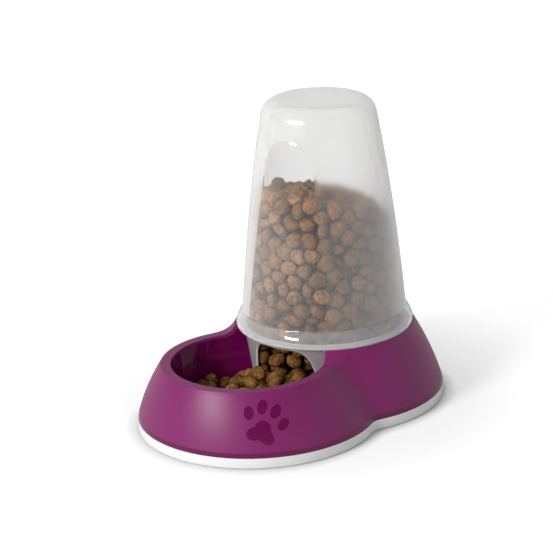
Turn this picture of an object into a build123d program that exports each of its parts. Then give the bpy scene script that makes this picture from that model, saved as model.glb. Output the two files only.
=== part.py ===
from build123d import *
import os
from math import atan2, cos, radians, sin, sqrt, tan

# Gravity pet feeder. Millimetres and degrees, +Z up, the bowl faces -Y, the floor is z = 0.
# The hopper stands on the rear lobe of a figure-eight base and feeds the bowl in the front lobe.

# Base outline: two equal foot circles joined by a hollow waist
foot_r = 93.5
lobe_pitch = 79.0
foot_waist_r = 12.0
deck_waist_r = 38.0
wall = 2.4
wall_bulge = 2.0

# Soft ring pressed on to the foot
ring_h = 8.4
ring_wall = 2.6
ring_floor = 2.4
ring_lip_h = 6.4
ring_fit = 0.1
ring_edge_r = 1.6
skirt_w = 2.4
skirt_band = 3.6

# Bowl in the front lobe and its rim
bowl_r = 59.5
bowl_pitch = 88.0
bowl_draft = 6.0
bowl_floor_z = 12.0
bowl_corner_r = 9.0
rim_z = 53.0
rim_w = 8.0

# Deck behind the bowl that carries the hopper
deck_rise = 7.5
sweep_share = 0.76
deck_land = 0.6
flange_setback = 0.9

# Tray under the deck: well round the sleeve, with a feed ramp
tray_wall = 2.0
tray_gap = 1.8
well_step = 1.0
well_gap = 0.5
ramp_angle = 30.0
ramp_toe = 15.0
ramp_gap = 2.0

# Sleeve under the hopper with the outlet
sleeve_wall = 1.8
sleeve_inset = 0.6
sleeve_taper = 7.8
sleeve_flange_h = 1.6
sleeve_fit = 0.4
sleeve_floor_gap = 7.0
outlet_low_w = 65.0
outlet_top_w = 48.0
outlet_drop = 4.1
outlet_corner_r = 13.0

# Hopper: tapered body, round shoulder, flared flange, viewing panel in front
body_r = 64.8
body_top_r = 42.8
body_bow = 2.15
hopper_top_z = 242.0
shoulder_r = 14.0
hopper_wall = 1.8
flange_h = 13.5
flange_rim_h = 3.6
flange_bow = 0.6
panel_low_w = 72.0
panel_top_w = 42.0
panel_top_drop = 24.2
panel_proud = 0.5

# How far the hopper's panel and the sleeve's outlet are turned on the deck towards +X
hopper_turn = 11.5
sleeve_turn = 7.0

os.makedirs("parts", exist_ok=True)

hopper_y = lobe_pitch / 2
bowl_y = hopper_y - bowl_pitch
deck_z = rim_z + deck_rise
rim_r = bowl_r + rim_w
sleeve_top_r = body_r - sleeve_inset
well_floor_z = bowl_floor_z + well_step
sleeve_foot_z = well_floor_z + sleeve_floor_gap
seat_r = sleeve_top_r + sleeve_fit
well_r = sleeve_top_r + well_gap
deck_r = well_r + tray_wall + tray_gap + wall
flange_r = deck_r - flange_setback
flare_z = deck_z + flange_h
sleeve_foot_r = sleeve_top_r - (deck_z - sleeve_foot_z) * tan(radians(sleeve_taper))
sleeve_flange_r = flange_r - hopper_wall - sleeve_fit
ramp_r = sleeve_foot_r - sleeve_wall - ramp_gap
skirt_in = ring_wall + ring_fit + skirt_w
band_z = ring_h + skirt_band
reach = 2 * (foot_r + lobe_pitch)

hopper_axis = Axis((0, hopper_y, 0), (0, 0, 1))
bowl_axis = Axis((0, bowl_y, 0), (0, 0, 1))
hopper_plane = Plane(origin=(0, hopper_y, 0), x_dir=(0, 1, 0), z_dir=(1, 0, 0))
bowl_plane = Plane(origin=(0, bowl_y, 0), x_dir=(0, -1, 0), z_dir=(-1, 0, 0))


def facing_plane(turn):
    """Upright plane through the hopper's axis that faces the bowl, turned towards +X."""
    facing = Vector(sin(radians(turn)), -cos(radians(turn)), 0)
    across = Vector(cos(radians(turn)), sin(radians(turn)), 0)
    return Plane(origin=(0, hopper_y, 0), x_dir=across, z_dir=facing)


def swell(share):
    """How far a wall stands out of the straight line at a share of its height."""
    return 4 * wall_bulge * share * (1 - share)


def rear_radius(z):
    """Outside of the rear lobe at a height."""
    share = (z - ring_h) / (deck_z - ring_h)
    return foot_r + (deck_r - foot_r) * share + swell(share)


def front_radius(z):
    """Outside of the front lobe at a height."""
    share = (z - ring_h) / (rim_z - ring_h)
    return foot_r + (rim_r - foot_r) * share + swell(share)


def front_centre(z):
    """Centre of the front lobe at a height: it leans from the foot circle to the bowl."""
    share = (z - ring_h) / (rim_z - ring_h)
    return Vector(0, hopper_y - lobe_pitch - (bowl_pitch - lobe_pitch) * share)


def figure_eight(level, inset, z=None):
    """Outline of the base as it is at height `level`, set in from the outside, drawn at height z."""
    rear = Vector(0, hopper_y)
    front = front_centre(level)
    rear_r = rear_radius(level) - inset
    front_r = front_radius(level) - inset
    share = (level - ring_h) / (deck_z - ring_h)
    waist_r = foot_waist_r + (deck_waist_r - foot_waist_r) * share + inset
    pitch = (rear - front).length
    along = (pitch**2 + (rear_r + waist_r) ** 2 - (front_r + waist_r) ** 2) / (2 * pitch)
    waist = Vector(sqrt((rear_r + waist_r) ** 2 - along**2), rear.Y - along)
    to_rear = (rear - waist).normalized()
    to_front = (front - waist).normalized()
    to_middle = (to_rear + to_front).normalized()
    at_rear, at_middle, at_front = [waist + way * waist_r for way in (to_rear, to_middle, to_front)]
    with BuildSketch(Plane.XY.offset(level if z is None else z)) as outline:
        with BuildLine():
            ThreePointArc((0, rear.Y + rear_r), rear + (at_rear - rear).rotate(Axis.Z, 30), at_rear)
            ThreePointArc(at_rear, at_middle, at_front)
            ThreePointArc(at_front, front + (at_front - front).rotate(Axis.Z, -30), (0, front.Y - front_r))
            mirror(about=Plane.YZ)
        make_face()
    return outline.sketch


def over_rim(margin, drop):
    """Space above the rim and round the deck, with a sweep from the rim up to the deck's edge."""
    lean = rear_radius(rim_z) - rear_radius(deck_z)
    corner = atan2(deck_rise, -lean)
    sweep_r = sweep_share * sqrt(lean**2 + deck_rise**2) * tan(corner / 2)
    with BuildPart() as space:
        with BuildSketch(hopper_plane):
            with BuildLine():
                Polyline(
                    (rear_radius(deck_z) + margin, deck_z + deck_rise - drop),
                    (rear_radius(deck_z) + margin, deck_z - drop),
                    (rear_radius(rim_z) + margin, rim_z - drop),
                    (reach, rim_z - drop),
                    (reach, deck_z + deck_rise - drop),
                    close=True,
                )
            make_face()
            inner_corner = vertices().sort_by(Axis.Y)[:2].sort_by(Axis.X)[0]
            fillet(inner_corner, sweep_r)
        revolve(axis=hopper_axis)
    return space.part


def hopper_space(inset):
    """Solid inside the hopper's outside, set in by a wall, running down past the deck when it is set in."""
    low_z = deck_z - (flange_h if inset else 0)
    with BuildPart() as space:
        with BuildSketch(hopper_plane):
            with BuildLine():
                rim_low = (flange_r - inset, low_z)
                rim_high = (flange_r - inset, deck_z + flange_rim_h)
                neck = (body_r - inset, flare_z)
                peak = (body_top_r - inset, hopper_top_z - inset)
                Line((0, low_z), rim_low)
                Line(rim_low, rim_high)
                SagittaArc(rim_high, neck, -flange_bow)
                SagittaArc(neck, peak, -body_bow)
                Line(peak, (0, hopper_top_z - inset))
                Line((0, hopper_top_z - inset), (0, low_z))
            make_face()
            fillet(vertices().sort_by(Axis.Y)[-2:].sort_by(Axis.X)[-1], shoulder_r - inset)
        revolve(axis=hopper_axis)
    return space.part


def bowl_space(grow, top_z):
    """Inside of the bowl up to a height, upright from the rim's underside, or its outside when grown."""
    low_z = bowl_floor_z - grow
    lean = tan(radians(bowl_draft))
    with BuildPart() as space:
        with BuildSketch(bowl_plane):
            with BuildLine():
                Polyline(
                    (0, low_z),
                    (bowl_r + grow - (rim_z - wall - low_z) * lean, low_z),
                    (bowl_r + grow, rim_z - wall),
                    (bowl_r + grow, top_z),
                    (0, top_z),
                    close=True,
                )
            make_face()
            fillet(vertices().sort_by(Axis.Y)[:2].sort_by(Axis.X)[-1], bowl_corner_r + grow)
        revolve(axis=bowl_axis)
    return space.part


def well_space(grow, top_z):
    """Round well that the sleeve hangs in, tapered as the sleeve is, or its outside when grown."""
    low_z = well_floor_z - grow
    lean = tan(radians(sleeve_taper))
    with BuildPart() as space:
        with BuildSketch(hopper_plane):
            with BuildLine():
                Polyline(
                    (0, low_z),
                    (well_r + grow - (deck_z - low_z) * lean, low_z),
                    (well_r + grow - (deck_z - top_z) * lean, top_z),
                    (0, top_z),
                    close=True,
                )
            make_face()
        revolve(axis=hopper_axis)
    return space.part


def ramp_space(inset):
    """Wedge on the well's floor that rises to the back, or the hollow under it when set in."""
    toe_y = hopper_y - ramp_toe
    back_y = hopper_y + ramp_r
    drop = inset / cos(radians(ramp_angle))
    low_z = well_floor_z - tray_wall
    rise = tan(radians(ramp_angle))
    with BuildPart() as space:
        with BuildSketch(Plane.YZ):
            with BuildLine():
                Polyline(
                    (toe_y - (well_floor_z - low_z) / rise, low_z - drop),
                    (back_y, low_z - drop),
                    (back_y, well_floor_z + (back_y - toe_y) * rise - drop),
                    close=True,
                )
            make_face()
        extrude(amount=ramp_r, both=True)
        with Locations((0, hopper_y, deck_z / 2)):
            Cylinder(ramp_r - inset, 2 * deck_z, mode=Mode.INTERSECT)
    return space.part


# Outer shell: leaning walls, rim round the bowl, raised deck with the hopper's seat.
levels = [ring_h + (deck_z - ring_h) * step / 3 for step in range(4)]
hollow_levels = [band_z + (deck_z - wall - band_z) * step / 3 for step in range(4)]

with BuildPart() as shell_hollow:
    loft(sections=[figure_eight(level, wall) for level in hollow_levels])
    add(over_rim(deck_land - wall, wall), mode=Mode.SUBTRACT)
    extrude(figure_eight(ring_h, skirt_in, 0), amount=band_z)

with BuildPart() as base_shell:
    loft(sections=[figure_eight(level, 0) for level in levels])
    extrude(figure_eight(ring_h, ring_wall + ring_fit, ring_floor), amount=ring_h - ring_floor)
    add(over_rim(deck_land, 0), mode=Mode.SUBTRACT)
    add(shell_hollow.part, mode=Mode.SUBTRACT)
    with Locations((0, bowl_y, rim_z)):
        Cylinder(bowl_r, 4 * deck_rise, mode=Mode.SUBTRACT)
    with Locations((0, hopper_y, deck_z)):
        Cylinder(seat_r, 4 * deck_rise, mode=Mode.SUBTRACT)

base_shell.part.label = "base_shell"
export_step(base_shell.part, "parts/base_shell.step")

# Glossy tray fixed under rim and deck: bowl, well and the feed ramp between them.
with BuildPart() as feed_tray:
    add(bowl_space(tray_wall, deck_z - wall))
    add(over_rim(deck_land - wall, wall), mode=Mode.SUBTRACT)
    add(well_space(tray_wall, deck_z - wall))
    add(bowl_space(0, deck_z), mode=Mode.SUBTRACT)
    add(well_space(0, deck_z), mode=Mode.SUBTRACT)
    add(ramp_space(0))
    add(ramp_space(tray_wall), mode=Mode.SUBTRACT)

feed_tray.part.label = "feed_tray"
export_step(feed_tray.part, "parts/feed_tray.step")

# Soft ring with a channel that the shell's skirt is pressed into.
with BuildPart() as non_slip_ring:
    extrude(figure_eight(ring_h, 0, 0), amount=ring_h)
    fillet(edges().group_by(Axis.Z)[0], ring_edge_r)
    extrude(figure_eight(ring_h, ring_wall, ring_floor), amount=ring_h, mode=Mode.SUBTRACT)
    extrude(figure_eight(ring_h, skirt_in + ring_fit, 0), amount=ring_lip_h)
    extrude(figure_eight(ring_h, skirt_in + ring_fit + ring_wall, 0), amount=ring_h, mode=Mode.SUBTRACT)

non_slip_ring.part.label = "non_slip_ring"
export_step(non_slip_ring.part, "parts/non_slip_ring.step")

# Funnel-shaped sleeve that stands on the deck by its flange and turns with the hopper.
with BuildPart() as outlet_sleeve:
    with BuildSketch(hopper_plane):
        with BuildLine():
            Polyline(
                (sleeve_top_r - sleeve_wall, deck_z + sleeve_flange_h),
                (sleeve_flange_r, deck_z + sleeve_flange_h),
                (sleeve_flange_r, deck_z),
                (sleeve_top_r, deck_z),
                (sleeve_foot_r, sleeve_foot_z),
                (sleeve_foot_r - sleeve_wall, sleeve_foot_z),
                close=True,
            )
        make_face()
    revolve(axis=hopper_axis)
    with BuildSketch(facing_plane(sleeve_turn)):
        with BuildLine():
            Polyline(
                (-outlet_low_w / 2, 0),
                (outlet_low_w / 2, 0),
                (outlet_low_w / 2, sleeve_foot_z),
                (outlet_top_w / 2, deck_z - outlet_drop),
                (-outlet_top_w / 2, deck_z - outlet_drop),
                (-outlet_low_w / 2, sleeve_foot_z),
                close=True,
            )
        make_face()
        fillet(vertices().group_by(Axis.Y)[-1], outlet_corner_r)
    extrude(amount=reach, mode=Mode.SUBTRACT)

outlet_sleeve.part.label = "outlet_sleeve"
export_step(outlet_sleeve.part, "parts/outlet_sleeve.step")

# Hopper: closed tapered vessel, open below, with a proud arched viewing panel in front.
with BuildPart() as viewing_panel:
    with BuildSketch(facing_plane(hopper_turn)):
        with Locations((0, hopper_top_z - panel_top_drop - panel_top_w / 2)):
            Circle(panel_top_w / 2)
        with Locations((0, flare_z)):
            Rectangle(panel_low_w, hopper_wall)
        make_hull()
    extrude(amount=reach)
    add(hopper_space(-panel_proud), mode=Mode.INTERSECT)

with BuildPart() as hopper:
    add(hopper_space(0))
    add(viewing_panel.part)
    add(hopper_space(hopper_wall), mode=Mode.SUBTRACT)

hopper.part.label = "hopper"
export_step(hopper.part, "parts/hopper.step")
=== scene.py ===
from math import acos, asin, atan2, cos, hypot, pi, radians, sin, sqrt, tan

import bmesh
import bpy
import numpy as np
from mathutils import Matrix, Vector


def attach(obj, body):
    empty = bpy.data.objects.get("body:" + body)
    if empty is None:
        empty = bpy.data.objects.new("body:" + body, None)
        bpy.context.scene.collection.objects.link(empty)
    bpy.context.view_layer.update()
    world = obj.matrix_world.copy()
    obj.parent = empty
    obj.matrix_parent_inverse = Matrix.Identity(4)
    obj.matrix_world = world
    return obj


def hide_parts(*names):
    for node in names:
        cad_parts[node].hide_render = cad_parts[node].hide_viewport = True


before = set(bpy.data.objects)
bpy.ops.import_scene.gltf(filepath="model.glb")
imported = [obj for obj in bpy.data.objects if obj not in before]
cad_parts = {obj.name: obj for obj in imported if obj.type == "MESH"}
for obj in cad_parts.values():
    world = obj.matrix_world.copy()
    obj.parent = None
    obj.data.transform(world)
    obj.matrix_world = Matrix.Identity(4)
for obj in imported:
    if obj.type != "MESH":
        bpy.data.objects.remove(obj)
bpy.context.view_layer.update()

# Non-slip ring: one soft white rubber moulding under the whole foot, with a channel that the shell's
# skirt is pressed into. It stands on a flat underside, and its edges are rounded as they leave the mould.
hopper_y, bowl_y, foot_front_y = 0.0395, -0.0485, -0.0395
ring_h, rim_z, deck_z = 0.0084, 0.053, 0.0605
foot_r, rim_r, deck_r = 0.0935, 0.0675, 0.0709
foot_waist_r, deck_waist_r, wall_swell = 0.012, 0.038, 0.002
rear_steps, waist_steps, front_steps = 72, 40, 72
half_round = rear_steps + waist_steps + front_steps


def side_and_step(station):
    """Side of the base that a station is on, and its number of steps from the middle of the back."""
    if station <= half_round:
        return 1, station
    return -1, 2 * half_round - station


def swollen_r(low_r, high_r, rise):
    """Radius of a leaning, slightly swollen wall at a share of its height."""
    return low_r + (high_r - low_r) * rise + 4 * wall_swell * rise * (1 - rise)


def base_outline(station, level, inset):
    """Point on the figure-eight outside of the base at a height, set in from its surface."""
    rise = (level - ring_h) / (deck_z - ring_h)
    front_rise = (level - ring_h) / (rim_z - ring_h)
    rear_r = swollen_r(foot_r, deck_r, rise) - inset
    front_r = swollen_r(foot_r, rim_r, front_rise) - inset
    front_y = foot_front_y + (bowl_y - foot_front_y) * front_rise
    waist_r = foot_waist_r + (deck_waist_r - foot_waist_r) * rise + inset
    pitch = hopper_y - front_y
    along = (pitch**2 + (rear_r + waist_r) ** 2 - (front_r + waist_r) ** 2) / (2 * pitch)
    waist_x = sqrt((rear_r + waist_r) ** 2 - along**2)
    waist_y = hopper_y - along
    side, step = side_and_step(station)
    if step <= rear_steps:
        turn = atan2(waist_x, -along) * step / rear_steps
        return side * rear_r * sin(turn), hopper_y + rear_r * cos(turn)
    if step <= rear_steps + waist_steps:
        first, last = atan2(along, waist_x), atan2(front_y - waist_y, waist_x)
        turn = first + (last - first) * (step - rear_steps) / waist_steps
        return side * (waist_x - waist_r * cos(turn)), waist_y + waist_r * sin(turn)
    first = atan2(waist_x, waist_y - front_y)
    turn = first + (pi - first) * (step - rear_steps - waist_steps) / front_steps
    return side * front_r * sin(turn), front_y + front_r * cos(turn)


def foot_place(inset, z):
    """Loop along the foot's outline at a height, set in from it."""
    return lambda station: (*base_outline(station, ring_h, inset), z)


def drawn_round(count, loops, closed):
    """Skin drawn round a piece from loop to loop, each vertex marked with its station and its loop."""
    skin = bmesh.new()
    station = skin.verts.layers.int.new("station")
    row = skin.verts.layers.int.new("row")
    bmesh.ops.create_circle(skin, segments=count, radius=1)
    for number, vert in enumerate(skin.verts):
        vert[station] = number
        vert.co = loops[0](number)
    edges = list(skin.edges)
    for number in list(range(1, len(loops))) + ([0] if closed else []):
        drawn = bmesh.ops.extrude_edge_only(skin, edges=edges)["geom"]
        for vert in [part for part in drawn if isinstance(part, bmesh.types.BMVert)]:
            vert[row] = number
            vert.co = loops[number](vert[station])
        edges = [part for part in drawn if isinstance(part, bmesh.types.BMEdge)]
    bmesh.ops.remove_doubles(skin, verts=skin.verts, dist=1e-7)
    return skin


def rounded(skin, edges, size, segments):
    bmesh.ops.bevel(skin, geom=edges, offset=size, offset_type="OFFSET", segments=segments, profile=0.5,
                    affect="EDGES", clamp_overlap=True, material=-1)


def rounded_rows(skin, rows, size, segments):
    """Rounds the edges that run along the given loops."""
    row = skin.verts.layers.int["row"]
    edges = []
    for edge in skin.edges:
        first, last = (vert[row] for vert in edge.verts)
        if first == last and first in rows:
            edges.append(edge)
    rounded(skin, edges, size, segments)


def finished(skin, name, body, finish, node=None, crease=34):
    """Smooths a skin except at its creases and puts it on its body, in place of its CAD node."""
    bmesh.ops.recalc_face_normals(skin, faces=skin.faces)
    for face in skin.faces:
        face.smooth = True
    for edge in skin.edges:
        edge.smooth = edge.calc_face_angle(0) < radians(crease)
    mesh = bpy.data.meshes.new(name)
    skin.to_mesh(mesh)
    skin.free()
    mesh.materials.append(finish.material)
    piece = bpy.data.objects.new(name, mesh)
    bpy.context.scene.collection.objects.link(piece)
    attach(piece, body)
    if node:
        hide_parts(node)
    return piece


class Nodes:
    """Node tree, with short ways to add nodes and to join them."""

    def __init__(self, tree):
        self.tree = tree

    def join(self, value, socket):
        """Links another node's output to a socket, or sets a plain value on it."""
        if isinstance(value, bpy.types.NodeSocket):
            self.tree.links.new(value, socket)
        else:
            socket.default_value = value

    def add(self, kind, output, inputs=(), **settings):
        """Adds a node with its settings and inputs, and gives one of its outputs."""
        node = self.tree.nodes.new(kind)
        for key, value in settings.items():
            setattr(node, key, value)
        for key, value in dict(inputs).items():
            self.join(value, node.inputs[key])
        return node.outputs[output]

    def maths(self, operation, first, second):
        return self.add("ShaderNodeMath", "Value", {0: first, 1: second}, operation=operation)

    def mixed(self, share, first, second):
        """Colour at a share of the way from a first one to a second."""
        return self.add("ShaderNodeMix", 2, {0: share, 6: first, 7: second}, data_type="RGBA")

    def span(self, value, across, to):
        """Stretches one range of values to another, and holds it at the ends."""
        return self.add("ShaderNodeMapRange", "Result", {
            "Value": value, "From Min": across[0], "From Max": across[1], "To Min": to[0], "To Max": to[1]})

    def ray(self, kind):
        return self.add("ShaderNodeLightPath", "Is %s Ray" % kind)


class Finish(Nodes):
    """Surface of a piece: its shader, and the nodes that give it grain, tone and gloss."""

    def __init__(self, name):
        self.material = bpy.data.materials.new(name)
        self.material.use_nodes = True
        super().__init__(self.material.node_tree)
        self.shader = self.tree.nodes["Principled BSDF"]
        self.spot = self.add("ShaderNodeTexCoord", "Object")

    def height(self):
        return self.add("ShaderNodeSeparateXYZ", "Z", {"Vector": self.spot})

    def attribute(self, name):
        return self.add("ShaderNodeAttribute", "Fac", attribute_name=name)

    def grain(self, scale, detail=2.0):
        return self.add("ShaderNodeTexNoise", "Fac", {"Vector": self.spot, "Scale": scale, "Detail": detail})

    def by_grain(self, grain, low, high):
        """Value that follows a grain, over the range in which most of the grain lies."""
        return self.span(grain, (0.3, 0.7), (low, high))

    def bump(self, height, strength, depth):
        self.give({"Normal": self.add("ShaderNodeBump", "Normal", {
            "Height": height, "Strength": strength, "Distance": depth})})

    def give(self, inputs):
        for key, value in inputs.items():
            self.join(value, self.shader.inputs[key])


rubber_dark, rubber_pale = (0.73, 0.73, 0.72, 1), (0.80, 0.80, 0.79, 1)
white_rubber = Finish("white_rubber")
fine = white_rubber.grain(scale=1100)
white_rubber.give({
    "Base Color": white_rubber.mixed(white_rubber.grain(scale=24, detail=4), rubber_dark, rubber_pale),
    "Roughness": white_rubber.by_grain(fine, 0.48, 0.62)})
white_rubber.bump(fine, strength=0.2, depth=0.00006)

ring_wall, ring_floor, ring_lip_h = 0.0026, 0.0024, 0.0064
channel_in, ring_in = 2 * ring_wall, 3 * ring_wall
ring_profile = [(0, 0), (0, ring_h), (ring_wall, ring_h), (ring_wall, ring_floor), (channel_in, ring_floor),
                (channel_in, ring_lip_h), (ring_in, ring_lip_h), (ring_in, 0)]
foot_row, other_edge_rows = {0}, {1, 2, 5, 6, 7}
ring_skin = drawn_round(2 * half_round, [foot_place(inset, z) for inset, z in ring_profile], True)
rounded_rows(ring_skin, foot_row, size=0.0014, segments=4)
rounded_rows(ring_skin, other_edge_rows, size=0.0006, segments=3)
finished(ring_skin, "non_slip_ring_soft", "base", white_rubber, "non_slip_ring")

# Base shell: the purple outer moulding with a fine matte texture, a flat rim round the bowl, and a deck
# for the hopper that the rim sweeps up to. Its skirt sits in the ring, with a narrow polished band above
# it, and a polished paw print lies on the front wall.
wall, skirt_top, ring_fit = 0.0024, 0.012, 0.0001
seat_r, bowl_r = 0.0646, 0.0595
lobe_pitch = hopper_y - bowl_y
seat_to_cusp = (lobe_pitch**2 + seat_r**2 - bowl_r**2) / (2 * lobe_pitch)
cusp_x, cusp_y = sqrt(seat_r**2 - seat_to_cusp**2), hopper_y - seat_to_cusp
deck_land, sweep_share = 0.0006, 0.76
deck_rise = deck_z - rim_z
slope_run = swollen_r(foot_r, deck_r, (rim_z - ring_h) / (deck_z - ring_h)) - deck_r
sweep_length = sweep_share * hypot(slope_run, deck_rise)
sweep_r = sweep_length * tan(atan2(deck_rise, -slope_run) / 2)
deck_edge_r = deck_r + deck_land
sweep_end_r, sweep_end_z = deck_edge_r + (1 - sweep_share) * slope_run, rim_z + sweep_share * deck_rise
sweep_foot_r, sweep_middle_z = deck_edge_r + slope_run + sweep_length, rim_z + sweep_r


def top_height(x, y, beyond=0):
    """Height of the shell's top: rim, concave sweep and deck, by the distance from the hopper's axis."""
    away = hypot(x, y - hopper_y) + beyond
    if away >= sweep_foot_r:
        return rim_z
    if away >= sweep_end_r:
        return sweep_middle_z - sqrt(sweep_r**2 - (sweep_foot_r - away) ** 2)
    if away >= deck_edge_r:
        return deck_z + (sweep_end_z - deck_z) * (away - deck_edge_r) / (sweep_end_r - deck_edge_r)
    return deck_z


def wall_top(station):
    """Height at which the leaning wall meets the top, found by halving."""
    just_under, halvings = 0.0001, 30
    low, high = rim_z - just_under, deck_z
    for _ in range(halvings):
        level = (low + high) / 2
        if top_height(*base_outline(station, level, 0)) > level:
            low = level
        else:
            high = level
    return (low + high) / 2


def inner_edge(station):
    """Point on the edge of the opening: the hopper's seat behind, the bowl in front, meeting at a cusp."""
    side, step = side_and_step(station)
    middle = rear_steps + waist_steps // 2
    if step <= middle:
        turn = atan2(cusp_x, cusp_y - hopper_y) * step / middle
        return side * seat_r * sin(turn), hopper_y + seat_r * cos(turn)
    first = atan2(cusp_x, cusp_y - bowl_y)
    turn = first + (pi - first) * (step - middle) / (half_round - middle)
    return side * bowl_r * sin(turn), bowl_y + bowl_r * cos(turn)


shell_top = [wall_top(station) for station in range(2 * half_round)]
band_z, band_step, band_inset = 0.0118, 0.0003, 0.00025
wall_rows, top_rows, inside_rows = 12, 12, 6


def wall_place(share, inset, start, drop):
    """Loop at a share of the wall's height, from a start up to the top or a drop below it."""
    def place(station):
        z = start + (shell_top[station] - drop - start) * share
        return (*base_outline(station, z, inset), z)
    return place


def top_place(share, inset, drop):
    """Loop at a share of the way from the wall to the opening, on the top or a drop below it."""
    def place(station):
        outer = base_outline(station, shell_top[station] - drop, inset)
        inner = inner_edge(station)
        x, y = (a + (b - a) * share for a, b in zip(outer, inner))
        return x, y, (top_height(x, y, drop) if share else shell_top[station]) - drop
    return place


skirt_out, skirt_in = ring_wall + ring_fit, ring_wall + ring_fit + wall
skirt_foot = ring_floor + ring_fit
shell_loops = [foot_place(band_inset, ring_h),
               lambda station: (*base_outline(station, band_z, band_inset), band_z)]
shell_loops += [wall_place(k / wall_rows, 0, band_z + band_step, 0) for k in range(wall_rows + 1)]
outer_row = len(shell_loops) - 1
shell_loops += [top_place(k / top_rows, 0, 0) for k in range(1, top_rows + 1)]
inner_row = len(shell_loops) - 1
shell_loops += [top_place(k / inside_rows, wall, wall) for k in range(inside_rows, -1, -1)]
shell_loops += [wall_place(k / inside_rows, wall, skirt_top, wall) for k in range(inside_rows - 1, -1, -1)]
shell_loops += [foot_place(skirt_in, skirt_top), foot_place(skirt_in, skirt_foot),
                foot_place(skirt_out, skirt_foot), foot_place(skirt_out, ring_h)]
shell_skin = drawn_round(2 * half_round, shell_loops, True)
rounded_rows(shell_skin, {outer_row}, size=0.0016, segments=4)
rounded_rows(shell_skin, {inner_row}, size=0.0008, segments=3)

purple_dark, purple_pale = (0.183, 0.009, 0.104, 1), (0.199, 0.011, 0.113, 1)
purple_polished = (0.125, 0.001, 0.058, 1)
matte_purple = Finish("matte_purple")
texture = matte_purple.grain(scale=1500)
band = matte_purple.span(matte_purple.height(), (band_z, band_z + band_step), (1, 0))

print_middle, print_depth = Vector((0.0616, -0.0953, 0.033)), 0.03
print_turn, print_lean, print_tilt = radians(50), radians(30), radians(-22)


def looking(turn, rise):
    """Direction that is turned from straight ahead to the right, and raised."""
    return Vector((sin(turn) * cos(rise), -cos(turn) * cos(rise), sin(rise)))


def tilted(right, up, angle):
    """A right and an up direction, both turned by an angle, right towards up."""
    return cos(angle) * right + sin(angle) * up, -sin(angle) * right + cos(angle) * up


out_of_wall = looking(print_turn, print_lean)
along_wall = Vector((cos(print_turn), sin(print_turn), 0))
print_right, print_up = tilted(along_wall, out_of_wall.cross(along_wall), print_tilt)

# Each mark of the print: right, up, half width, half height and lean in degrees
pad_top, pad_middle = (0.0, -0.0052, 0.0062, 0.0058, 0), (0.0, -0.0092, 0.0080, 0.0052, 0)
pad_foot, inner_toe = (0.0048, -0.0106, 0.0060, 0.0050, -30), (0.0052, 0.0097, 0.0038, 0.0056, -7)
outer_toe = (0.0135, 0.0025, 0.0036, 0.0052, -22)
paw_marks = [pad_top, pad_middle]
for side in (-1, 1):
    paw_marks += [(side * right, up, half_width, half_height, side * lean)
                  for right, up, half_width, half_height, lean in (pad_foot, inner_toe, outer_toe)]
nearest = None
for right, up, half_width, half_height, lean in paw_marks:
    mark_right, mark_up = tilted(print_right, print_up, radians(lean))
    in_mark = matte_purple.add("ShaderNodeMapping", "Vector", {
        "Vector": matte_purple.spot, "Location": print_middle + right * print_right + up * print_up,
        "Rotation": Matrix((mark_right, mark_up, out_of_wall)).transposed().to_euler(),
        "Scale": (half_width, half_height, print_depth)}, vector_type="TEXTURE")
    from_mark = matte_purple.add("ShaderNodeVectorMath", "Value", {0: in_mark}, operation="LENGTH")
    nearest = from_mark if nearest is None else matte_purple.maths("MINIMUM", nearest, from_mark)
paw = matte_purple.span(nearest, (0.97, 1.03), (1, 0))
polished = matte_purple.maths("MAXIMUM", paw, band)
plain = matte_purple.mixed(matte_purple.grain(scale=9, detail=3), purple_dark, purple_pale)
less_rough = matte_purple.span(polished, (0, 1), (0, 0.2))
matte_purple.give({
    "Base Color": matte_purple.mixed(polished, plain, purple_polished),
    "Roughness": matte_purple.maths("SUBTRACT", matte_purple.by_grain(texture, 0.40, 0.47), less_rough),
    "Specular IOR Level": 0.38})
matte = matte_purple.span(polished, (0, 1), (1, 0))
matte_purple.bump(matte_purple.maths("MULTIPLY", texture, matte), strength=0.35, depth=0.00005)
finished(shell_skin, "base_shell_matte", "base", matte_purple, "base_shell")

# Feed tray: the polished purple inside of the bowl, running back under the hopper as a round well with a
# ramp. It is one moulding fixed up under the shell's edge. Its solid is the right shape, so only its
# finish is new.
tray_dark, tray_pale = (0.105, 0.0005, 0.050, 1), (0.135, 0.001, 0.068, 1)
gloss_purple = Finish("gloss_purple")
flow = gloss_purple.grain(scale=14, detail=3)
gloss_purple.give({
    "Base Color": gloss_purple.mixed(flow, tray_dark, tray_pale),
    "Roughness": gloss_purple.by_grain(gloss_purple.grain(scale=160, detail=3), 0.05, 0.09)})
gloss_purple.bump(flow, strength=0.05, depth=0.0004)
feed_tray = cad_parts["feed_tray"]
feed_tray.data.materials.clear()
feed_tray.data.materials.append(gloss_purple.material)

# Outlet sleeve: a grey translucent funnel that hangs by its flange in the round seat of the deck, with a
# rounded outlet cut down to its foot towards the bowl. The wall is an even thickness, and the cut edge is
# painted pale with a faint glow, painted light that stands in for light carried through the plastic.
sleeve_turn = radians(7)
sleeve_top_r, sleeve_foot_r, sleeve_foot_z, sleeve_wall = 0.0642, 0.05865, 0.020, 0.0018
sleeve_flange_r, sleeve_flange_z = 0.0678, 0.0621
outlet_low_half, outlet_top_half, outlet_top, outlet_corner = 0.0325, 0.024, 0.0564, 0.013
outlet_flare = (outlet_low_half - outlet_top_half) / (outlet_top - sleeve_foot_z)
outlet_lean = atan2(outlet_flare, 1)
corner_z = outlet_top - outlet_corner
corner_x = outlet_low_half - outlet_flare * (corner_z - sleeve_foot_z) - outlet_corner / cos(outlet_lean)
corner_start = corner_z + outlet_corner * sin(outlet_lean)
above_outlet_z = 0.0585
outlet_columns, sleeve_columns = 28, 168
side_rows, corner_rows = 12, 9


def round_place(angle, radius, z):
    """Point on a circle about the hopper's axis, the angle counted from straight ahead."""
    return radius * sin(angle), hopper_y - radius * cos(angle), z


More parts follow.
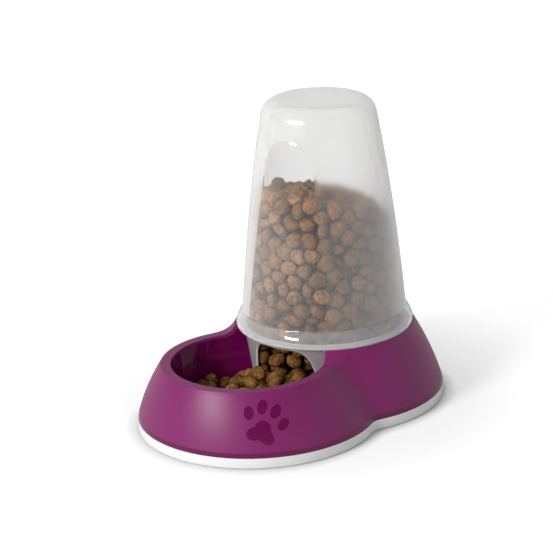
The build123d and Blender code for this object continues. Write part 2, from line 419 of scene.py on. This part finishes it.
def round_back(edge, share):
    """Angle at a share of the way round the back, from one edge of the front to the other."""
    return edge + (2 * pi - 2 * edge) * share


def sleeve_r(z):
    """Radius of the sleeve's outside at a height."""
    return sleeve_foot_r + (sleeve_top_r - sleeve_foot_r) * (z - sleeve_foot_z) / (deck_z - sleeve_foot_z)


def outlet_side(z):
    """Half width of the outlet at a height: flared sides, and rounded corners at the top."""
    if z < corner_start:
        return outlet_low_half - outlet_flare * (z - sleeve_foot_z)
    return corner_x + sqrt(max(outlet_corner**2 - (z - corner_z) ** 2, 0))


def sleeve_place(radius, z):
    """Loop of the sleeve at a height, with one set of columns across the outlet and one round the back."""
    edge = asin(outlet_side(z) / radius)

    def place(station):
        if station <= outlet_columns:
            return round_place(sleeve_turn + edge * (2 * station / outlet_columns - 1), radius, z)
        share = (station - outlet_columns) / (sleeve_columns - outlet_columns)
        return round_place(sleeve_turn + round_back(edge, share), radius, z)
    return place


side_rise = corner_start - sleeve_foot_z
sleeve_levels = [sleeve_foot_z + side_rise * k / side_rows for k in range(side_rows + 1)]
corner_turns = [outlet_lean + (pi / 2 - outlet_lean) * k / corner_rows for k in range(1, corner_rows + 1)]
sleeve_levels += [corner_z + outlet_corner * sin(turn) for turn in corner_turns]
sleeve_levels += [above_outlet_z, deck_z]
sleeve_loops = [sleeve_place(sleeve_r(z), z) for z in sleeve_levels]
sleeve_loops += [sleeve_place(sleeve_flange_r, deck_z), sleeve_place(sleeve_flange_r, sleeve_flange_z),
                 sleeve_place(sleeve_top_r - sleeve_wall, sleeve_flange_z)]
sleeve_loops += [sleeve_place(sleeve_r(z) - sleeve_wall, z) for z in reversed(sleeve_levels)]
sleeve_skin = drawn_round(sleeve_columns, sleeve_loops, True)
sleeve_station = sleeve_skin.verts.layers.int["station"]
sleeve_row = sleeve_skin.verts.layers.int["row"]
bmesh.ops.delete(sleeve_skin, context="FACES", geom=[
    face for face in sleeve_skin.faces
    if all(vert[sleeve_station] <= outlet_columns and vert.co.z < outlet_top + 1e-6 for vert in face.verts)])
flange_row = len(sleeve_levels)
outlet_edges = []
for edge in sleeve_skin.edges:
    if edge.is_boundary and len({vert[sleeve_row] < flange_row for vert in edge.verts}) == 1:
        outlet_edges.append(edge)
cut = sleeve_skin.faces.layers.float.new("cut")
for face in bmesh.ops.bridge_loops(sleeve_skin, edges=outlet_edges)["faces"]:
    face[cut] = 1
rounded(sleeve_skin, outlet_edges, size=0.0004, segments=2)
rounded_rows(sleeve_skin, {flange_row, flange_row + 1}, size=0.0003, segments=2)

sleeve_dark, sleeve_pale, painted_glow_colour = (0.47, 0.43, 0.45, 1), (0.53, 0.49, 0.51, 1), (0.9, 0.9, 0.92, 1)
plastic_ior = 1.49
grey_sleeve = Finish("grey_sleeve")
at_cut = grey_sleeve.attribute("cut")
clouded = grey_sleeve.mixed(grey_sleeve.grain(scale=30, detail=3), sleeve_dark, sleeve_pale)
# Painted light: the cut faces are pale and glow faintly, standing in for light carried through the plastic
# to its edge.
grey_sleeve.give({
    "Base Color": grey_sleeve.mixed(at_cut, clouded, painted_glow_colour),
    "Emission Color": (0.9, 0.92, 1, 1), "Emission Strength": grey_sleeve.span(at_cut, (0, 1), (0, 0.35)),
    "Roughness": grey_sleeve.by_grain(grey_sleeve.grain(scale=700), 0.30, 0.42),
    "Transmission Weight": 0.45, "IOR": plastic_ior})
grey_sleeve.bump(grey_sleeve.grain(scale=1300), strength=0.15, depth=0.00004)
finished(sleeve_skin, "outlet_sleeve_grey", "outlet", grey_sleeve, "outlet_sleeve")

# Hopper: a thin frosted moulding, closed and round-shouldered at the top, with a polished arched panel
# that stands a little proud in front. Its flared flange rests loose on the sleeve's flange and the deck,
# so that it lifts off.
hopper_turn = radians(11.5)
flange_r, flange_rim_z, flange_sag = 0.0700, 0.0641, 0.0006
body_r, flare_z, body_sag = 0.0648, 0.074, 0.00215
peak_r, hopper_top, shoulder_r = 0.0428, 0.242, 0.014
hopper_wall, panel_proud = 0.0018, 0.0004
panel_half, panel_foot_z, arch_r, arch_z = 0.036, 0.0749, 0.021, 0.1968
panel_steps = [-0.0014, -0.0010, -0.0006, -0.0002, 0.0002, 0.0006]
panel_inside, panel_outside = panel_steps[0], panel_steps[-1]
panel_columns, hopper_columns = 28, 140
front_columns = panel_columns + 2 * (len(panel_steps) - 1)
diagonal = sqrt(0.5)


def bow(low, high, sag):
    """Radius and middle, to the micrometre, of the arc that bows outwards between two profile points."""
    run, climb = high[0] - low[0], high[1] - low[1]
    chord = hypot(run, climb)
    radius = (chord**2 / 4 + sag**2) / (2 * sag)
    back = (radius - sag) / chord
    middle = (low[0] + high[0]) / 2 - back * climb, (low[1] + high[1]) / 2 + back * run
    return [round(size, 6) for size in (radius, *middle)]


flare_bow_r, flare_bow_x, flare_bow_z = bow((flange_r, flange_rim_z), (body_r, flare_z), flange_sag)
body_bow_r, body_bow_x, body_bow_z = bow((body_r, flare_z), (peak_r, hopper_top), body_sag)
shoulder_z = hopper_top - shoulder_r
shoulder_x = body_bow_x + sqrt((body_bow_r - shoulder_r) ** 2 - (shoulder_z - body_bow_z) ** 2)
shoulder_start_z = body_bow_z + body_bow_r * (shoulder_z - body_bow_z) / (body_bow_r - shoulder_r)
panel_drop = panel_foot_z - arch_z
arch_turn = atan2(panel_drop, panel_half) + acos(arch_r / hypot(panel_half, panel_drop))
arch_side_x, arch_side_z = arch_r * cos(arch_turn), arch_z + arch_r * sin(arch_turn)
panel_slope = (panel_half - arch_side_x) / (arch_side_z - panel_foot_z)


def outer_r(z):
    """Radius of the hopper's plain outside at a height, up to where the shoulder starts."""
    if z <= flange_rim_z:
        return flange_r
    if z < flare_z:
        return flare_bow_x + sqrt(flare_bow_r**2 - (z - flare_bow_z) ** 2)
    return body_bow_x + sqrt(body_bow_r**2 - (z - body_bow_z) ** 2)


def inner_r(z):
    return outer_r(z) - hopper_wall


def panel_side(z, beyond):
    """Half width of the panel at a height, or of a line a little beyond its edge."""
    if z < arch_side_z:
        half = min(panel_half, panel_half - panel_slope * (z - panel_foot_z))
        return half + beyond * hypot(1, panel_slope)
    return sqrt(max((arch_r + beyond) ** 2 - (z - arch_z) ** 2, 0))


def past_edge(x, z):
    """Distance from the panel's edge, below zero on the panel."""
    if z < arch_side_z:
        return abs(x) - panel_side(z, 0)
    return hypot(x, z - arch_z) - arch_r


def arch_corner(beyond):
    """Half width of the arch half-way round its bend, on a line a little beyond its edge."""
    return (arch_r + beyond) * diagonal


def arch_bend(level, arch_step):
    """How far the loop at a height follows the arch in front, from 0 to 1, and the line it follows."""
    if arch_step is not None:
        return 1, arch_step
    line = panel_inside if level < arch_z else panel_outside
    low, high = arch_z + arch_corner(panel_inside), arch_z + arch_corner(panel_outside)
    bend_foot_z, ease_below, ease_above = 0.150, 2, 1.2
    if level < low:
        return max(0, (level - bend_foot_z) / (low - bend_foot_z)) ** ease_below, line
    return max(0, (shoulder_start_z - level) / (shoulder_start_z - high)) ** ease_above, line


def hopper_place(level, radius, proud, arch_step=None):
    """Loop of the hopper at a height, bent up in front near the arch so that it runs along the edge."""
    lines = [panel_side(level, beyond) if level <= arch_z + arch_corner(beyond) else arch_corner(beyond)
             for beyond in panel_steps]
    bend, line = arch_bend(level, arch_step)
    proud_foot_z = 0.070

    def place(number):
        if number > front_columns:
            share = (number - front_columns) / (hopper_columns - front_columns)
            angle = round_back(asin(lines[-1] / radius(level)), share)
            return round_place(hopper_turn + angle, radius(level), level)
        column = number - (len(panel_steps) - 1)
        if column < 0:
            x = -lines[-column]
        elif column > panel_columns:
            x = lines[column - panel_columns]
        else:
            x = lines[0] * (2 * column / panel_columns - 1)
        z = level
        if bend and abs(x) < arch_corner(line):
            z = level + bend * (sqrt((arch_r + line) ** 2 - x**2) - arch_corner(line))
        out = radius(z)
        angle = asin(x / out) if out > abs(x) else 0
        if proud and z > proud_foot_z:
            ease = min(max((panel_outside - past_edge(x, z)) / (panel_outside - panel_inside), 0), 1)
            out = max(out, outer_r(max(z, flare_z)) + panel_proud * ease)
        return round_place(hopper_turn + angle, out, z)
    return place


def cap_place(radius, z):
    """Loop of the shoulder and the top, with the same columns as the wall below it."""
    def place(number):
        if number <= front_columns:
            return round_place(hopper_turn + cap_edge * (2 * number / front_columns - 1), radius, z)
        share = (number - front_columns) / (hopper_columns - front_columns)
        return round_place(hopper_turn + round_back(cap_edge, share), radius, z)
    return place


cap_edge = asin(arch_corner(panel_outside) / outer_r(shoulder_start_z))
shoulder_lean = asin((shoulder_start_z - shoulder_z) / shoulder_r)
shoulder_rows, top_shares = 10, (0.75, 0.5, 0.25, 0)


def shoulder_loops(inset):
    """Loops over the shoulder and in to the middle of the top, set in from the outside."""
    turns = [shoulder_lean + (pi / 2 - shoulder_lean) * k / shoulder_rows for k in range(shoulder_rows + 1)]
    bend_r = shoulder_r - inset
    loops = [cap_place(shoulder_x + bend_r * cos(turn), shoulder_z + bend_r * sin(turn)) for turn in turns]
    return loops + [cap_place(shoulder_x * share, hopper_top - inset) for share in top_shares]


flange_levels = [deck_z, 0.0623, flange_rim_z, 0.0655, 0.067, 0.0685, 0.070, 0.0712, 0.0722, 0.0728, 0.0734,
                 flare_z, 0.0744, panel_foot_z]
body_pitch, body_rows = 0.0055, 22
body_levels = [panel_foot_z + body_pitch * k for k in range(1, body_rows + 1)]
body_levels += [0.2010, 0.2040, 0.2070, 0.2095]
upper_levels = [0.2145, 0.2180, 0.2215, 0.2250, 0.2280]
wall_levels = [(z, None) for z in flange_levels + body_levels]
wall_levels += [(arch_z + arch_corner(beyond), beyond) for beyond in panel_steps]
wall_levels += [(z, None) for z in upper_levels]
inner_loops = [hopper_place(z, inner_r, False, step) for z, step in wall_levels]
inner_loops += shoulder_loops(hopper_wall)
outer_loops = [hopper_place(z, outer_r, True, step) for z, step in wall_levels]
outer_loops += shoulder_loops(0)
hopper_skin = drawn_round(hopper_columns, inner_loops[::-1] + outer_loops, False)
bottom_inner, bottom_outer = len(inner_loops) - 1, len(inner_loops)
rounded_rows(hopper_skin, {bottom_inner, bottom_outer}, size=0.0005, segments=2)

flange_fade, panel_fade = 0.0008, 0.0004
clear = hopper_skin.verts.layers.float.new("clear")
inside = hopper_skin.verts.layers.float.new("inside")
hopper_row = hopper_skin.verts.layers.int["row"]
for vert in hopper_skin.verts:
    vert[inside] = 1 if vert[hopper_row] <= bottom_inner else 0
    unturned = Matrix.Rotation(-hopper_turn, 2) @ Vector((vert.co.x, vert.co.y - hopper_y))
    on_flange = (flare_z + flange_fade / 2 - vert.co.z) / flange_fade
    in_panel = (panel_outside - past_edge(unturned.x, vert.co.z)) / panel_fade if unturned.y < 0 else 0
    vert[clear] = min(max(on_flange, in_panel, 0), 1)

frost_dark, frost_pale = (0.883, 0.883, 0.877, 1), (0.913, 0.913, 0.907, 1)
shadow_tint = (0.62, 0.62, 0.63, 1)
frosted = Finish("frosted_hopper")
on_panel = frosted.attribute("clear")
drawn_out = frosted.add("ShaderNodeMapping", "Vector", {"Vector": frosted.spot, "Scale": (1, 1, 0.06)})
streaks = frosted.add("ShaderNodeTexNoise", "Fac", {"Vector": drawn_out, "Scale": 260, "Detail": 3})
grazing = frosted.add("ShaderNodeLayerWeight", "Facing", {"Blend": 0.5})
up_hopper = frosted.height()
above_rim = frosted.span(up_hopper, (0.0642, 0.0652), (0.91, 1))
above_flange = frosted.span(up_hopper, (0.0725, 0.0745), (0.88, 1))
milk = frosted.maths("MULTIPLY", frosted.span(grazing, (0.0, 0.8), (0.03, 0.5)),
                     frosted.span(on_panel, (0, 1), (1, 0.35)))
frost = frosted.maths("MULTIPLY", frosted.by_grain(streaks, 0.20, 0.23),
                      frosted.span(frosted.attribute("inside"), (0, 1), (1, 0.75)))
frosted.give({
    "Base Color": frosted.mixed(streaks, frost_dark, frost_pale),
    "Roughness": frosted.maths("MULTIPLY", frost, frosted.span(on_panel, (0, 1), (1, 0.2))),
    "Transmission Weight": frosted.maths("MULTIPLY", frosted.span(milk, (0, 1), (1, 0)),
                                         frosted.maths("MULTIPLY", above_rim, above_flange)),
    "IOR": plastic_ior})
streak_height = frosted.maths("MULTIPLY", streaks, frosted.span(on_panel, (0, 0.7), (1, 0)))
frosted.bump(streak_height, strength=0.05, depth=0.0001)
lit_through = frosted.add("ShaderNodeBsdfTransparent", "BSDF", {"Color": shadow_tint})
lamp_or_eye = frosted.add("ShaderNodeMixShader", "Shader", {
    0: frosted.ray("Shadow"), 1: frosted.shader.outputs["BSDF"], 2: lit_through})
frosted.join(lamp_or_eye, frosted.tree.nodes["Material Output"].inputs["Surface"])
finished(hopper_skin, "hopper_frosted", "hopper", frosted, "hopper")

# Dry food: brown baked kibble, lumpy pillows about 13 mm across with a rough, pitted skin. One heap fills
# the hopper, and another lies on the tray, from inside the sleeve out through the outlet into the bowl.
pillow_r, pillow_half, pellet_r, squareness = 0.0067, 0.0040, 0.0062, 3.1
shortest, longest = 0.90, 1.10
smallest, largest = 0.9, 1.08
ground = np.random.default_rng(7)
pillow_shapes = []
for lump in range(9):
    pillow = bmesh.new()
    bmesh.ops.create_uvsphere(pillow, u_segments=10, v_segments=7, radius=1)
    bends = ground.uniform(-1, 1, 6)
    long_way, thick_way = ground.uniform(shortest, longest), ground.uniform(0.86, 1.14)
    for vert in pillow.verts:
        x, y, z = vert.co
        full = (hypot(x, y) ** squareness + abs(z) ** squareness) ** (-1 / squareness)
        around = atan2(y, x)
        uneven = 1 + 0.06 * bends[0] * cos(2 * around + 3 * bends[1]) + 0.05 * cos(3 * around + 3 * bends[2])
        uneven *= ground.uniform(0.97, 1.02)
        skew = 0.12 * bends[3] * x + 0.12 * bends[4] * y
        vert.co = (x * full * uneven * pillow_r * long_way, y * full * uneven * pillow_r / long_way,
                   (z * full * thick_way + skew) * uneven * pillow_half)
    shape = bpy.data.meshes.new("pillow_%d" % lump)
    pillow.to_mesh(shape)
    pillow.free()
    pillow_shapes.append(shape)

baked_dark, baked_pale = (0.170, 0.076, 0.017, 1), (0.335, 0.156, 0.039, 1)
speckle_colour, painted_gap_shade = (0.062, 0.023, 0.004, 1), (0.010, 0.007, 0.007, 1)
kibble = Finish("baked_kibble")
crumb = kibble.grain(scale=420, detail=4)
pits = kibble.add("ShaderNodeTexVoronoi", "Distance", {
    "Vector": kibble.spot, "Scale": 620, "Randomness": 1.0})
baked = kibble.mixed(kibble.attribute("shade"), baked_dark, baked_pale)
speckled = kibble.mixed(kibble.span(crumb, (0.38, 0.62), (0, 0.72)), baked, speckle_colour)
# Painted shade: where the heap closes in round a point, the colour darkens towards near-black, standing in
# for shade in the gaps between pellets.
gap_shade_ao = kibble.add("ShaderNodeAmbientOcclusion", "AO", {"Distance": 0.006}, samples=6, only_local=True)
kibble.give({
    "Base Color": kibble.mixed(kibble.span(gap_shade_ao, (0.3, 0.85), (0.95, 0)), speckled, painted_gap_shade),
    "Roughness": kibble.by_grain(crumb, 0.6, 0.85), "Specular IOR Level": 0.16})
pitted = kibble.maths("ADD", crumb, kibble.span(pits, (0, 0.5), (0, 0.6)))
kibble.bump(pitted, strength=0.8, depth=0.0009)


def heap_of_food(name, body, spots, faces):
    """One mesh of pillows, each turned so that its flat side looks along its face direction."""
    heap = bmesh.new()
    shade = heap.verts.layers.float.new("shade")
    for spot, face in zip(spots, faces):
        shape = pillow_shapes[ground.integers(len(pillow_shapes))].copy()
        spin = Matrix.Rotation(ground.uniform(0, 2 * pi), 4, "Z")
        size = Matrix.Scale(ground.uniform(smallest, largest), 4)
        turned = Vector(face).to_track_quat("Z", "Y").to_matrix().to_4x4()
        shape.transform(Matrix.Translation(spot) @ turned @ spin @ size)
        heap.from_mesh(shape)
        bpy.data.meshes.remove(shape)
    tones = ground.uniform(0, 1, len(spots))
    for number, vert in enumerate(heap.verts):
        vert[shade] = tones[number * len(spots) // len(heap.verts)]
    return finished(heap, name, body, kibble, crease=180)


def scattered(count, reach, low, high):
    """Pellets thrown evenly into a round room about the hopper's axis."""
    turns = ground.uniform(0, 2 * pi, count)
    reaches = reach * np.sqrt(ground.uniform(0, 1, count))
    heights = ground.uniform(low, high, count)
    return np.column_stack([reaches * np.cos(turns), hopper_y + reaches * np.sin(turns), heights])


def settled(spots, keep_in, rounds=70, give=0.28):
    """Pushes pellets apart until they lie against each other, keeping them in their room."""
    for _ in range(rounds):
        apart = spots[:, None, :] - spots[None, :, :]
        gap = np.linalg.norm(apart, axis=2) + 1e-9
        push = np.clip(2 * pellet_r - gap, 0, None) * (gap > 1e-8)
        spots = spots + give * (apart / gap[:, :, None] * push[:, :, None]).sum(axis=1)
        spots = keep_in(spots)
    return spots


def held_round(spots, middle_y, limit, side):
    """Holds pellets within a distance of an upright axis for side -1, or beyond it for side 1."""
    flat = spots[:, :2] - (0, middle_y)
    share = limit / np.maximum(np.linalg.norm(flat, axis=1), 1e-9)
    share = np.minimum(1, share) if side < 0 else np.maximum(1, share)
    return np.column_stack([flat * share[:, None] + (0, middle_y), spots[:, 2]])


def held_level(spots, low, high):
    """Holds pellets between two heights."""
    return np.column_stack([spots[:, :2], np.clip(spots[:, 2], low, high)])


def unit(ways):
    return ways / np.linalg.norm(ways, axis=1)[:, None]


def outward(spots, middle_y):
    """Level directions to pellets from an upright axis."""
    return np.column_stack([unit(spots[:, :2] - (0, middle_y)), np.zeros(len(spots))])


def flat_to_wall(spots, faces, chosen, play):
    """Turns the flat sides of the chosen pellets to the round wall behind them, give or take some play."""
    to_wall = outward(spots, hopper_y) + play * ground.normal(0, 1, faces.shape)
    return unit(np.where(chosen[:, None], to_wall, faces))


def half_depth(faces, ways):
    """Half depth of each pellet along a direction, by the way its flat side is turned."""
    lean = np.abs((faces * ways).sum(axis=1)) / np.linalg.norm(faces, axis=1)
    return largest * longest * np.sqrt((pillow_half * lean) ** 2 + pillow_r**2 * (1 - lean**2))


def off_wall(spots, faces, middle_y, wall_r, side, play=0.0004):
    """Moves pellets off a round wall by their own half depth: inward for side -1, outward for side 1."""
    half = half_depth(faces, outward(spots, middle_y))
    return held_round(spots, middle_y, wall_r(spots[:, 2]) + side * (half + play), side)


def off_floor(spots, faces, floor_z, top_z):
    """Lifts pellets by their own half depth off the floor under them, up to a top."""
    low = floor_z + half_depth(faces, np.array([0, 0, 1]))
    return held_level(spots, np.minimum(low, top_z), np.inf)


store_floor, store_count, store_room = 0.0705, 700, 0.0052
store_reach, store_top = 0.058, 0.176
above_flare_z = 0.0745
store_heights = [deck_z, flare_z, 0.1, 0.15, 0.2, 0.228]
store_radii = [inner_r(level) for level in (flange_rim_z, above_flare_z, 0.1, 0.15, 0.2, 0.228)]
to_viewer, to_right = np.array([0.695, -0.719]), np.array([0.719, 0.695])
heap_middle_z, near_rise, right_fall = 0.158, 0.12, 0.16
far_right, far_right_fall = 0.005, 0.21
top_play = ground.normal(0, 0.0033, store_count)


def store_r(z):
    """Radius of the hopper's inside at each pellet's height."""
    return np.interp(z, store_heights, store_radii)


def heap_top(spots):
    """Height of the heap at each pellet: it falls away to the back and to the right, and is uneven."""
    near, right = ((spots[:, :2] - (0, hopper_y)) @ way for way in (to_viewer, to_right))
    fall = far_right_fall * np.clip(right - far_right, 0, None)
    return heap_middle_z + near_rise * near - right_fall * right - fall + top_play


def keep_in_hopper(spots):
    spots = held_round(spots, hopper_y, store_r(spots[:, 2]) - store_room, -1)
    return held_level(spots, store_floor, heap_top(spots))


store = settled(scattered(store_count, store_reach, store_floor, store_top), keep_in_hopper)
store_face = unit(ground.normal(0, 1, (store_count, 3)))
near_wall, lying_share = 0.0085, 0.6
by_wall = store_r(store[:, 2]) - np.linalg.norm(store[:, :2] - (0, hopper_y), axis=1) < near_wall
lying = by_wall & (ground.uniform(0, 1, store_count) < lying_share)
store_face = flat_to_wall(store, store_face, lying, play=0.22)
store = off_wall(store, store_face, hopper_y, store_r, -1)
heap_of_food("food_in_hopper", "hopper", store, store_face)

throat_count, throat_reach, throat_low, throat_top = 180, 0.052, 0.018, 0.0565
throat_room, tray_room, near_sleeve = 0.0050, 0.0060, 0.0095
ramp_slope, ramp_foot, well_floor = 0.5774, 0.015, 0.013
bowl_count, bowl_floor, bowl_room, sleeve_room = 56, 0.012, 0.0058, 0.0062
bowl_low, bowl_least_top = bowl_floor + 0.0048, bowl_floor + 0.005
bowl_wall_low_r, bowl_wall_low_z, bowl_wall_lean = 0.0545, 0.02, 0.10
bowl_heap_spot, bowl_heap_z, bowl_heap_fall = (0.011, -0.024), 0.043, 0.50
pellet_reach = 0.005


def on_tray(spots):
    """Height of the tray under each pellet: the well's floor, or the ramp that rises to the back."""
    behind = spots[:, 1] - hopper_y + ramp_foot
    return well_floor + np.clip(behind, 0, None) * ramp_slope


def sleeve_near(z):
    """Radius of the sleeve's outside at the height nearest to each pellet's."""
    return sleeve_r(np.clip(z, sleeve_foot_z, deck_z))


def sleeve_inside(z):
    """Radius of the sleeve's inside at each pellet's lower end, where it is narrower."""
    return sleeve_near(z - pellet_reach) - sleeve_wall


def sleeve_outside(z):
    """Radius of the sleeve's outside at each pellet's upper end, where it is wider."""
    return sleeve_near(z + pellet_reach)


def bowl_wall_r(z):
    """Radius of the bowl's leaning wall at each pellet's height."""
    return bowl_wall_low_r + bowl_wall_lean * (z - bowl_wall_low_z)


def keep_in_throat(spots):
    spots = held_round(spots, hopper_y, sleeve_near(spots[:, 2]) - sleeve_wall - throat_room, -1)
    return held_level(spots, np.minimum(on_tray(spots) + tray_room, throat_top), throat_top)


def keep_in_bowl(spots):
    spots = held_round(spots, hopper_y, sleeve_near(spots[:, 2]) + sleeve_room, 1)
    spots = held_round(spots, bowl_y, bowl_wall_r(spots[:, 2]) - bowl_room, -1)
    slope = bowl_heap_z - bowl_heap_fall * np.linalg.norm(spots[:, :2] - bowl_heap_spot, axis=1)
    return held_level(spots, bowl_low, np.maximum(slope, bowl_least_top))


throat = settled(scattered(throat_count, throat_reach, throat_low, throat_top), keep_in_throat)
buried, outlet_corner_spot = np.array([0, 0.036, 0.034]), np.array([-0.0215, -0.0115, 0.0505])
throat[np.argmin(np.linalg.norm(throat - buried, axis=1))] = outlet_corner_spot
bowl = np.column_stack([ground.uniform(-0.05, 0.05, bowl_count), ground.uniform(-0.075, -0.022, bowl_count),
                        ground.uniform(0.016, 0.046, bowl_count)])
bowl = settled(bowl, keep_in_bowl)
throat_face = ground.normal(0, 1, (throat_count, 3))
by_sleeve = np.linalg.norm(throat[:, :2] - (0, hopper_y), axis=1) > sleeve_r(throat[:, 2]) - near_sleeve
throat_face = flat_to_wall(throat, throat_face, by_sleeve, play=0.3)
throat = off_wall(throat, throat_face, hopper_y, sleeve_inside, -1)
throat = off_floor(throat, throat_face, on_tray(throat), throat_top)
upward_lean = (0, 0, 0.4)
bowl_face = unit(ground.normal(0, 1, (bowl_count, 3)) + upward_lean)
bowl = off_wall(bowl, bowl_face, bowl_y, bowl_wall_r, -1)
bowl = off_wall(bowl, bowl_face, hopper_y, sleeve_outside, 1)
bowl = off_floor(bowl, bowl_face, bowl_floor, throat_top)
heap_of_food("food_in_tray", "base", np.vstack([throat, bowl]), np.vstack([throat_face, bowl_face]))

# Studio: a white floor that keeps the shadow, with painted light and shade in its glow, an even white
# surround, and one large soft lamp in front on the left. The camera stands where the photograph was taken
# from.
floor_mesh = bmesh.new()
bmesh.ops.create_grid(floor_mesh, x_segments=4, y_segments=4, size=6)
floor_data = bpy.data.meshes.new("floor")
floor_mesh.to_mesh(floor_data)
floor_mesh.free()
floor = bpy.data.objects.new("floor", floor_data)
bpy.context.scene.collection.objects.link(floor)
white_floor = Finish("white_floor")
in_gloss = white_floor.span(white_floor.ray("Glossy"), (0, 1), (0, 0.4))
seen = white_floor.maths("MAXIMUM", white_floor.ray("Camera"), in_gloss)
seen = white_floor.maths("MAXIMUM", seen, white_floor.ray("Transmission"))
# Painted light and shade on the floor: its glow is brighter further from the middle, which fades the shadow
# out, and darker close to the object by ambient occlusion, a painted contact shadow.
from_middle = white_floor.add("ShaderNodeVectorMath", "Value", {0: white_floor.spot}, operation="LENGTH")
contact_shade_ao = white_floor.add("ShaderNodeAmbientOcclusion", "AO", {"Distance": 0.012})
painted_floor_glow = white_floor.maths("MULTIPLY", white_floor.span(from_middle, (0.13, 0.26), (0.43, 0.66)),
                         white_floor.span(contact_shade_ao, (0.5, 1), (0, 1)))
white_floor.give({
    "Base Color": (0.6, 0.6, 0.6, 1), "Roughness": 1.0, "Specular IOR Level": 0.0,
    "Emission Color": (1, 1, 1, 1), "Emission Strength": white_floor.maths("MULTIPLY", seen, painted_floor_glow)})
floor_data.materials.append(white_floor.material)

surround = bpy.data.worlds.new("surround")
surround.use_nodes = True
air = Nodes(surround.node_tree)
height_in_front = air.add("ShaderNodeVectorMath", "Value", {
    0: air.add("ShaderNodeTexCoord", "Generated"), 1: (0, -0.25, 1)}, operation="DOT_PRODUCT")
dim_above = air.span(height_in_front, (0.28, 0.45), (0.8, 0.04))
mirrored = air.add("ShaderNodeMix", 0, {0: air.ray("Glossy"), 2: 0.55, 3: dim_above})
looked_through = air.add("ShaderNodeMix", 0, {0: air.ray("Transmission"), 2: mirrored, 3: 1.0})
background = air.tree.nodes["Background"]
air.join(looked_through, background.inputs["Strength"])
air.join((1, 1, 1, 1), background.inputs["Color"])
bpy.context.scene.world = surround

lamp = bpy.data.lights.new("softbox", "AREA")
lamp.shape = "RECTANGLE"
lamp.size, lamp.size_y, lamp.energy = 0.58, 0.2, 26
lamp_target = Vector((0, 0, 0.1))
softbox = bpy.data.objects.new("softbox", lamp)
softbox.location = (-0.085, -1.627, 0.861)
softbox.visible_transmission = False
softbox.rotation_euler = (lamp_target - softbox.location).to_track_quat("-Z", "Y").to_euler()
bpy.context.scene.collection.objects.link(softbox)

camera_turn, camera_rise, camera_roll = radians(44.047), radians(18.783), radians(-2.159)
left_shift, up_shift, distance = 0.040462, 0.091255, 1.61151
sensor_width, frame_pixels, focal_pixels = 36, 553, 2000
to_camera = looking(camera_turn, camera_rise)
level_way = Vector((cos(camera_turn), sin(camera_turn), 0))
camera_right, camera_up = tilted(level_way, to_camera.cross(level_way), camera_roll)
lens = bpy.data.cameras.new("camera")
lens.sensor_width, lens.lens = sensor_width, focal_pixels / frame_pixels * sensor_width
camera = bpy.data.objects.new("camera", lens)
stand = Vector((0, hopper_y, 0)) - left_shift * camera_right + up_shift * camera_up + distance * to_camera
camera_axes = Matrix((camera_right, camera_up, to_camera)).transposed().to_4x4()
camera.matrix_world = Matrix.Translation(stand) @ camera_axes
bpy.context.scene.collection.objects.link(camera)
bpy.context.scene.camera = camera
bpy.context.scene.view_settings.view_transform = "Standard"
